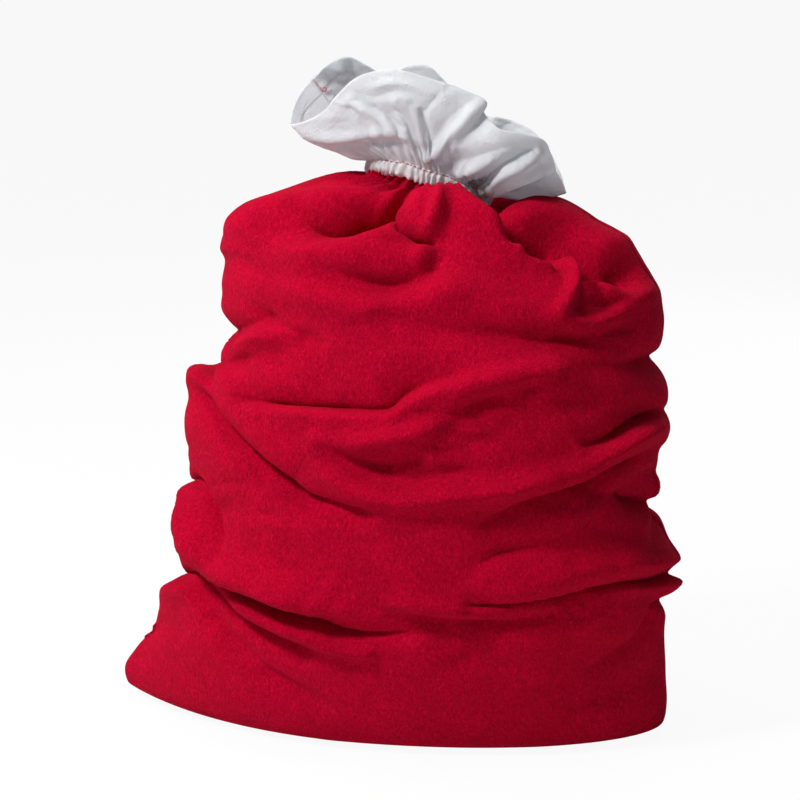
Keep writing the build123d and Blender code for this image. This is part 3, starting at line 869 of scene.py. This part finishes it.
def cuff_pieces():
    """Every piece of the cuff as (object, half, material, CAD nodes it replaces)."""
    grid, normals, from_rim = sculpt_cuff()
    outer, inner = cuff_faces(grid, normals, from_rim)
    tube, height, bulk = casing_grid()
    tube_normals = grid_normals(tube)
    hem_rows = row_where(from_rim, HEM - HEM_STITCH_INSET)
    up_outside = int(np.argmin(np.abs(height - 0.72) + (bulk <= 0)))
    join_row = int(np.argmin(np.abs(height + 0.93) + (bulk <= 0)))
    pieces = []
    for half, first, tube_first in (("front", 0, 0), ("back", CUFF_COLUMNS, CASING_COLUMNS)):
        columns = np.arange(first, first + CUFF_COLUMNS + 1) % (2 * CUFF_COLUMNS)
        last, tube_last = first + CUFF_COLUMNS, tube_first + CASING_COLUMNS
        from_seam = np.broadcast_to(np.arange(CUFF_COLUMNS + 1) * 0.0015, (CUFF_ROWS + 1, CUFF_COLUMNS + 1))
        weave = np.stack([from_seam, from_rim[:, columns]], axis=2)
        sheet = sheet_mesh(half + "_cuff_cloth", outer[:, columns], inner[:, columns], 1, weave)
        pieces.append((sheet, half, "cotton", [half + "_cuff_panel"]))
        casing = tube_half(half + "_casing_cloth", tube, tube_first, tube_last)
        pieces.append((casing, half, "cotton", [half + "_casing"]))
        for edge, row, length, radius, seed in (("top", up_outside, 0.0034, 0.00055, 31),
                                                ("join", join_row, 0.0032, 0.00045, 32)):
            rows = np.full(2 * CASING_COLUMNS, float(row))
            line = stitch_row(tube, tube_normals, rows, tube_first, tube_last, STITCH_PITCH, length, seed)
            thread = thread_mesh(f"{half}_casing_{edge}_thread", line, radius)
            pieces.append((thread, half, "red thread", [f"{half}_casing_{edge}_stitches"]))
        hem = stitch_row(outer, normals, hem_rows, first, last, STITCH_PITCH, 0.0033, 33)
        hem += stitch_row(inner, -normals, hem_rows, first, last, STITCH_PITCH, 0.0033, 34)
        pieces.append((thread_mesh(half + "_hem_thread", hem, 0.0004), half, "white thread",
                       [half + "_hem_stitches"]))
    for side, column in (("left", 2 * CUFF_COLUMNS), ("right", CUFF_COLUMNS)):
        # Seam allowance, pressed to the back along the inside of the side seam, up to the hem
        away = -1 if side == "left" else 1
        columns = (column + away * np.arange(0, 9)) % (2 * CUFF_COLUMNS)
        rows = np.arange(4, int(hem_rows[column % (2 * CUFF_COLUMNS)]) - 1)
        lying = inner[np.ix_(rows, columns)] - 0.0002 * normals[np.ix_(rows, columns)]
        raised = lying - 0.0008 * normals[np.ix_(rows, columns)]
        if side == "right":
            raised, lying = raised[:, ::-1], lying[:, ::-1]
        strip = sheet_mesh(side + "_cuff_seam_cloth", raised, lying)
        pieces.append((strip, "back", "cotton", [side + "_cuff_seam"]))
        # The seam's own stitches show across the hem, from the rim inwards
        path = [(row, column + away * 0.6) for row in np.linspace(CUFF_ROWS - 2, rows[-1] + 1, 36)]
        stitches = []
        for first in range(0, 31, 6):
            part = path[first:first + 5]
            stitches.append(([between(inner, *spot) for spot in part],
                             [-between(normals, *spot) for spot in part]))
        stitches.append(thread_tail(between(inner, *path[-1]), -between(normals, *path[-1])))
        pieces.append((thread_mesh(side + "_cuff_seam_thread", stitches, 0.00055), "back", "red thread", []))
    return pieces


# ----------------------------------------------------------------------- inside: seams and elastic
def bar_mesh(name, path, inward, beside, width, thickness):
    """Seam allowance: a flat strip of doubled felt that stands on a path and points inwards."""
    corners = [(0.0, -0.5), (0.0, 0.0), (0.0, 0.5), (0.5, 0.5), (0.92, 0.46), (1.0, 0.25), (0.94, 0.03),
               (1.0, -0.22), (0.92, -0.46), (0.5, -0.5)]
    points = []
    for k in range(len(path)):
        lean = 0.0012 * math.sin(k * 0.23) + 0.0007 * math.sin(k * 0.61 + 1)
        for reach, aside in corners:
            sideways = aside * thickness + reach * lean
            points.append(path[k] + reach * width * inward[k] + sideways * beside[k])
    strip = mesh_object(name, points, swept_faces(len(path), len(corners)))
    outward_first(strip)
    return strip


def outward_first(piece):
    """Turns all the faces of a closed mesh outwards."""
    shape = bmesh.new()
    shape.from_mesh(piece.data)
    bmesh.ops.recalc_face_normals(shape, faces=shape.faces)
    shape.to_mesh(piece.data)
    shape.free()


def overlock(name, path, inward, beside, width, thickness, pitch):
    """Thread that loops over the raw edge of a seam allowance, from one face to the other and back."""
    place = distances(path)
    steps = int(place[-1] / pitch) * 12
    at = np.linspace(0.002, place[-1] - 0.002, steps + 1)
    phase = np.arange(steps + 1) * 2 * np.pi / 12
    base, inn, aside = (np.column_stack([np.interp(at, place, values[:, k]) for k in range(3)])
                        for values in (path, inward, beside))
    reach = width * (0.78 + 0.30 * np.cos(2 * phase) * 0.9)
    swing = (thickness / 2 + 0.0006) * np.clip(1.35 * np.sin(phase), -1, 1)
    line = base + reach[:, None] * inn + swing[:, None] * aside
    thread = tube_along(name, line, inn, 0.00035, 5)
    outward_first(thread)
    return thread


def seam_pieces(grid):
    """Seam allowances and overlock threads inside the felt sack, as (object, CAD node it replaces)."""
    smooth = grid_normals(bag_rings())
    top = FELT_ROWS - 22
    lines = {}
    for side, column in (("left", 0), ("right", FELT_COLUMNS)):
        path = grid[24:top, column] * np.array([1, 0, 1])
        inward = -smooth[24:top, column] * np.array([1, 0, 1])
        for _ in range(30):
            inward[1:-1] = (inward[2:] + inward[:-2]) / 2
            path[1:-1] = (path[2:] + path[:-2] + 2 * path[1:-1]) / 4
        inward /= np.linalg.norm(inward, axis=1, keepdims=True)
        lines[side] = path, inward
    path = grid[0, 10:FELT_COLUMNS - 10] * np.array([1, 0, 1])
    lines["bottom"] = path, np.tile([0.0, 0.0, 1.0], (len(path), 1))
    pieces = []
    for side, (path, inward) in lines.items():
        path = path + 0.0045 * inward
        beside = np.tile(THROUGH, (len(path), 1))
        strip = bar_mesh(side + "_seam_felt", path, inward, beside, 0.009, 0.0044)
        pieces.append((strip, side, "felt", side + "_seam_allowance"))
        thread = overlock(side + "_seam_thread", path, inward, beside, 0.009, 0.0044, 0.0055)
        pieces.append((thread, side, "red thread", side + "_overlock_thread"))
    return pieces


def elastic_pieces():
    """The elastic in its channel, half in front and half behind, with tacks where its ends overlap."""
    height = np.array([-1, -0.98, -0.6, -0.2, 0.2, 0.6, 0.98, 1, 0.98, 0.6, 0.2, -0.2, -0.6, -0.98])
    bulk = np.array([0, 1, 1, 1, 1, 1, 1, 0, -1, -1, -1, -1, -1, -1])
    angle = turn_of_column(CASING_COLUMNS)
    across, through, outward = casing_ring(angle, *CASING_HALF)
    wave = 0.8 * np.sin(9 * angle + 0.5) + 0.5 * np.sin(16 * angle)
    out = bulk[:, None] * 0.75 + wave[None, :]
    middle = (CASING_FOOT + CASING_HEAD) / 2 + ride_up(across, through)
    along = middle[None, :] + height[:, None] * 6.0 + 0.5 * np.sin(5 * angle)[None, :]
    points = neck_points((across + out * outward[:, 0]) * MM, (through + out * outward[:, 1]) * MM,
                         along * MM)
    halves = []
    for half, first in (("front", 0), ("back", CASING_COLUMNS)):
        piece = tube_half(half + "_elastic_half", points, first, first + CASING_COLUMNS)
        outward_first(piece)
        halves.append((piece, half))
    normals = grid_normals(points)
    middle = CASING_COLUMNS + CASING_COLUMNS // 2
    tacks = []
    for column in (middle - 7, middle + 7):
        for first in (2, 4):
            rows = np.linspace(first, first + 1, 7)
            tacks.append(([between(points, row, column) for row in rows],
                          [between(normals, row, column) for row in rows]))
    return halves, thread_mesh("elastic_tack_thread", tacks, 0.0004)


# --------------------------------------------------------------------------------------- materials
def new_material(name):
    """Empty node material, with its node tree, its Principled shader and its object coordinates."""
    material = bpy.data.materials.new(name)
    material.use_nodes = True
    tree = material.node_tree
    shader = tree.nodes["Principled BSDF"]
    coordinates = tree.nodes.new("ShaderNodeTexCoord")
    return material, tree, shader, coordinates.outputs["Object"]


def noise_node(tree, vector, scale, detail=3.0, roughness=0.6, stretch=(1, 1, 1), distortion=0.0):
    """Noise in row-frame metres, stretched per axis."""
    mapping = tree.nodes.new("ShaderNodeMapping")
    mapping.inputs["Scale"].default_value = stretch
    tree.links.new(vector, mapping.inputs["Vector"])
    node = tree.nodes.new("ShaderNodeTexNoise")
    node.inputs["Scale"].default_value = scale
    node.inputs["Detail"].default_value = detail
    node.inputs["Roughness"].default_value = roughness
    node.inputs["Distortion"].default_value = distortion
    tree.links.new(mapping.outputs["Vector"], node.inputs["Vector"])
    return node.outputs["Fac"]


def ramp(tree, value, stops):
    """Colour ramp through (position, colour) stops."""
    node = tree.nodes.new("ShaderNodeValToRGB")
    elements = node.color_ramp.elements
    while len(elements) < len(stops):
        elements.new(0.5)
    for element, (position, colour) in zip(elements, stops):
        element.position = position
        element.color = (*colour, 1.0)
    tree.links.new(value, node.inputs["Fac"])
    return node.outputs["Color"]


def mix(tree, share, first, second, kind="MIX"):
    """Mixes two colours; each input is a socket or a value."""
    node = tree.nodes.new("ShaderNodeMix")
    node.data_type = "RGBA"
    node.blend_type = kind
    sockets = [s for s in node.inputs if s.enabled]
    for socket, value in zip(sockets, (share, first, second)):
        if isinstance(value, bpy.types.NodeSocket):
            tree.links.new(value, socket)
        else:
            socket.default_value = value
    return [s for s in node.outputs if s.enabled][0]


def maths(tree, kind, *values):
    """One arithmetic node; each input is a socket or a number."""
    node = tree.nodes.new("ShaderNodeMath")
    node.operation = kind
    for socket, value in zip(node.inputs, values):
        if isinstance(value, bpy.types.NodeSocket):
            tree.links.new(value, socket)
        else:
            socket.default_value = value
    return node.outputs["Value"]


def bump(tree, height, distance, strength=1.0, below=None):
    """Bump node; below is another bump's normal that it adds to."""
    node = tree.nodes.new("ShaderNodeBump")
    node.inputs["Strength"].default_value = strength
    node.inputs["Distance"].default_value = distance
    tree.links.new(height, node.inputs["Height"])
    if below is not None:
        tree.links.new(below, node.inputs["Normal"])
    return node.outputs["Normal"]


def felt_material():
    """Brushed red felt: mottled, with short matted fibres and a soft sheen."""
    material, tree, shader, place = new_material("red_felt")
    clouds = noise_node(tree, place, 22, 4, 0.6)
    fibres = noise_node(tree, place, 520, 5, 0.75, (1, 1, 0.45), 1.2)
    specks = noise_node(tree, place, 900, 3, 0.7, (0.4, 1, 1), 0.6)
    colour = ramp(tree, fibres, [(0.30, (0.24, 0.0004, 0.010)), (0.50, (0.44, 0.0008, 0.021)),
                                 (0.70, (0.74, 0.004, 0.046))])
    patchy = ramp(tree, clouds, [(0.35, (0.80, 0.80, 0.80)), (0.65, (1.08, 1.05, 1.05))])
    colour = mix(tree, 0.5, colour, patchy, "MULTIPLY")
    tree.links.new(colour, shader.inputs["Base Color"])
    shader.inputs["Roughness"].default_value = 0.95
    shader.inputs["Specular IOR Level"].default_value = 0.02
    shader.inputs["Sheen Weight"].default_value = 0.05
    shader.inputs["Sheen Roughness"].default_value = 0.45
    shader.inputs["Sheen Tint"].default_value = (1.0, 0.16, 0.24, 1.0)
    tufts = noise_node(tree, place, 210, 3, 0.65, (1, 1, 0.8), 0.5)
    normal = bump(tree, tufts, 0.0032, 0.75)
    normal = bump(tree, fibres, 0.0016, 0.9, normal)
    normal = bump(tree, specks, 0.0005, 0.5, normal)
    tree.links.new(normal, shader.inputs["Normal"])
    return material


def cotton_material():
    """White plain-weave cotton: crossing threads of uneven thickness, slubs and a little lint."""
    material, tree, shader, place = new_material("white_cotton")
    cloth = tree.nodes.new("ShaderNodeUVMap")
    cloth.uv_map = "cloth"
    split = tree.nodes.new("ShaderNodeSeparateXYZ")
    tree.links.new(cloth.outputs["UV"], split.inputs["Vector"])
    wander = noise_node(tree, place, 160, 2, 0.5)
    drift = maths(tree, "MULTIPLY", wander, 9.0)
    threads = []
    for axis in ("X", "Y"):
        turns = maths(tree, "MULTIPLY_ADD", split.outputs[axis], 2 * math.pi / 0.00045, drift)
        threads.append(maths(tree, "SINE", turns))
    weave = maths(tree, "MULTIPLY", threads[0], threads[1])
    slubs = noise_node(tree, place, 420, 4, 0.7, (1, 1, 0.5), 0.4)
    crumple = noise_node(tree, place, 55, 5, 0.62, (1, 1, 1), 0.8)
    tone = noise_node(tree, place, 30, 3, 0.5)
    colour = ramp(tree, tone, [(0.3, (0.83, 0.835, 0.86)), (0.7, (0.88, 0.885, 0.90))])
    lint = ramp(tree, slubs, [(0.25, (0.90, 0.90, 0.91)), (0.6, (1.0, 1.0, 1.0))])
    tree.links.new(mix(tree, 0.7, colour, lint, "MULTIPLY"), shader.inputs["Base Color"])
    shader.inputs["Roughness"].default_value = 0.92
    shader.inputs["Specular IOR Level"].default_value = 0.12
    shader.inputs["Sheen Weight"].default_value = 0.12
    shader.inputs["Subsurface Weight"].default_value = 0.12
    shader.inputs["Subsurface Radius"].default_value = (0.003, 0.0028, 0.0028)
    shader.inputs["Subsurface Scale"].default_value = 1.0
    normal = bump(tree, crumple, 0.0045, 0.8)
    normal = bump(tree, slubs, 0.0011, 0.8, normal)
    normal = bump(tree, weave, 0.00008, 0.8, normal)
    tree.links.new(normal, shader.inputs["Normal"])
    # Light shines through the thin cloth
    through = tree.nodes.new("ShaderNodeBsdfTranslucent")
    through.inputs["Color"].default_value = (0.85, 0.86, 0.90, 1)
    both = tree.nodes.new("ShaderNodeMixShader")
    both.inputs["Fac"].default_value = 0.42
    tree.links.new(shader.outputs["BSDF"], both.inputs[1])
    tree.links.new(through.outputs["BSDF"], both.inputs[2])
    tree.links.new(both.outputs["Shader"], tree.nodes["Material Output"].inputs["Surface"])
    return material


def thread_material(name, dark, light):
    """Spun thread: fine twisted strands, slightly shiny."""
    material, tree, shader, place = new_material(name)
    strands = noise_node(tree, place, 1500, 2, 0.6, (1, 1, 0.35))
    fluff = noise_node(tree, place, 5000, 2, 0.7)
    tree.links.new(ramp(tree, strands, [(0.35, dark), (0.65, light)]), shader.inputs["Base Color"])
    shader.inputs["Roughness"].default_value = 0.6
    shader.inputs["Sheen Weight"].default_value = 0.2
    normal = bump(tree, strands, 0.00025, 0.8)
    tree.links.new(bump(tree, fluff, 0.00008, 0.6, normal), shader.inputs["Normal"])
    return material


def elastic_material():
    """Ribbed woven elastic: rubber cords lying along it under off-white yarn."""
    material, tree, shader, place = new_material("elastic_webbing")
    ribs = noise_node(tree, place, 420, 2, 0.5, (0.15, 0.15, 2.6))
    yarn = noise_node(tree, place, 1800, 3, 0.7)
    colour = ramp(tree, ribs, [(0.35, (0.62, 0.61, 0.58)), (0.6, (0.82, 0.81, 0.78))])
    fuzz = ramp(tree, yarn, [(0.3, (0.88, 0.88, 0.88)), (0.6, (1.0, 1.0, 1.0))])
    tree.links.new(mix(tree, 0.8, colour, fuzz, "MULTIPLY"), shader.inputs["Base Color"])
    shader.inputs["Roughness"].default_value = 0.75
    normal = bump(tree, ribs, 0.0004, 0.8)
    tree.links.new(bump(tree, yarn, 0.0001, 0.6, normal), shader.inputs["Normal"])
    return material


# --------------------------------------------------------------------------------------- the stage
def soft_light(name, place, size, power):
    """Area light that faces the sack."""
    lamp = bpy.data.lights.new(name, "AREA")
    lamp.shape = "DISK"
    lamp.size = size
    lamp.energy = power
    light = bpy.data.objects.new(name, lamp)
    light.location = place
    aim = Vector(VIEW_TARGET) - Vector(place)
    light.rotation_euler = aim.to_track_quat("-Z", "Y").to_euler()
    bpy.context.collection.objects.link(light)


def set_stage():
    """Pale floor, white surroundings, soft studio light and the camera."""
    bpy.ops.mesh.primitive_plane_add(size=90, location=(0, 0, -0.0005))
    floor = bpy.context.object
    floor.name = "floor"
    material, tree, shader, _ = new_material("floor")
    shader.inputs["Base Color"].default_value = (0.80, 0.80, 0.80, 1)
    shader.inputs["Roughness"].default_value = 0.9
    # The camera sees the floor paler than it lights the sack, as in an overexposed studio sweep
    glow = tree.nodes.new("ShaderNodeEmission")
    ray = tree.nodes.new("ShaderNodeLightPath")
    blend = tree.nodes.new("ShaderNodeMixShader")
    tree.links.new(maths(tree, "MULTIPLY", ray.outputs["Is Camera Ray"], 0.93), blend.inputs["Fac"])
    tree.links.new(shader.outputs["BSDF"], blend.inputs[1])
    tree.links.new(glow.outputs["Emission"], blend.inputs[2])
    tree.links.new(blend.outputs["Shader"], tree.nodes["Material Output"].inputs["Surface"])
    floor.data.materials.append(material)

    world = bpy.data.worlds.new("studio")
    world.use_nodes = True
    world.node_tree.nodes["Background"].inputs["Color"].default_value = (1, 1, 1, 1)
    world.node_tree.nodes["Background"].inputs["Strength"].default_value = 0.12
    bpy.context.scene.world = world

    soft_light("key", (-1.25, -1.35, 2.3), 0.5, 72)
    soft_light("fill", (0.8, -2.6, 1.2), 1.6, 5)
    soft_light("edge", (-1.9, 0.6, 1.3), 1.0, 13)
    soft_light("above", (-0.2, -0.2, 3.0), 1.0, 26)
    soft_light("behind", (0.6, 2.6, 1.5), 1.8, 26)

    lens = bpy.data.cameras.new("camera")
    lens.sensor_width = 36
    lens.lens = 36 * VIEW_DISTANCE / VIEW_WIDTH
    camera = bpy.data.objects.new("camera", lens)
    _, _, forward = view_axes(VIEW_AZIMUTH)
    camera.location = Vector(VIEW_TARGET - VIEW_DISTANCE * forward)
    camera.rotation_euler = Vector(forward).to_track_quat("-Z", "Y").to_euler()
    bpy.context.collection.objects.link(camera)
    bpy.context.scene.camera = camera
    bpy.context.scene.view_settings.view_transform = "Standard"


# -------------------------------------------------------------------------------------- the pieces
FELT = felt_material()
COTTON_CLOTH = cotton_material()
RED_THREAD = thread_material("red_thread", (0.30, 0.004, 0.02), (0.60, 0.02, 0.06))
WHITE_THREAD = thread_material("white_thread", (0.70, 0.70, 0.70), (0.88, 0.88, 0.88))
ELASTIC = elastic_material()
LOOKS = {"felt": (FELT, "red_felt"), "cotton": (COTTON_CLOTH, "white_cotton"),
         "red thread": (RED_THREAD, "red_thread"), "white thread": (WHITE_THREAD, "white_thread"),
         "elastic": (ELASTIC, "elastic_webbing")}


def dress(piece, look):
    """Gives a piece its material."""
    material, slot = LOOKS[look]
    piece.data.materials.append(material)


def hang(piece):
    """Bakes a piece's placement into its points."""
    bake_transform(piece)


set_stage()
FELT_GRID, FELT_PIECES = felt_pieces()
for piece, side, part in FELT_PIECES:
    dress(piece, "felt")
    if part == "panel":
        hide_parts(side + "_felt_panel")
        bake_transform(piece)
    else:
        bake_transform(piece)
        if side == "front":
            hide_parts("lower_felt_gather", "upper_felt_gather")
for piece, side, look, node in seam_pieces(FELT_GRID):
    dress(piece, look)
    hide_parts(node)
    if side == "bottom":
        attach(piece, "sack")
    else:
        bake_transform(piece)
for piece, half, look, nodes in cuff_pieces():
    dress(piece, look)
    if nodes:
        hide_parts(*nodes)
    hang(piece)
ELASTIC_HALVES, ELASTIC_TACKS = elastic_pieces()
for piece, half in ELASTIC_HALVES:
    dress(piece, "elastic")
    hang(piece)
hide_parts("elastic_band")
dress(ELASTIC_TACKS, "white thread")
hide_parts("elastic_lap_tacks")
hang(ELASTIC_TACKS)
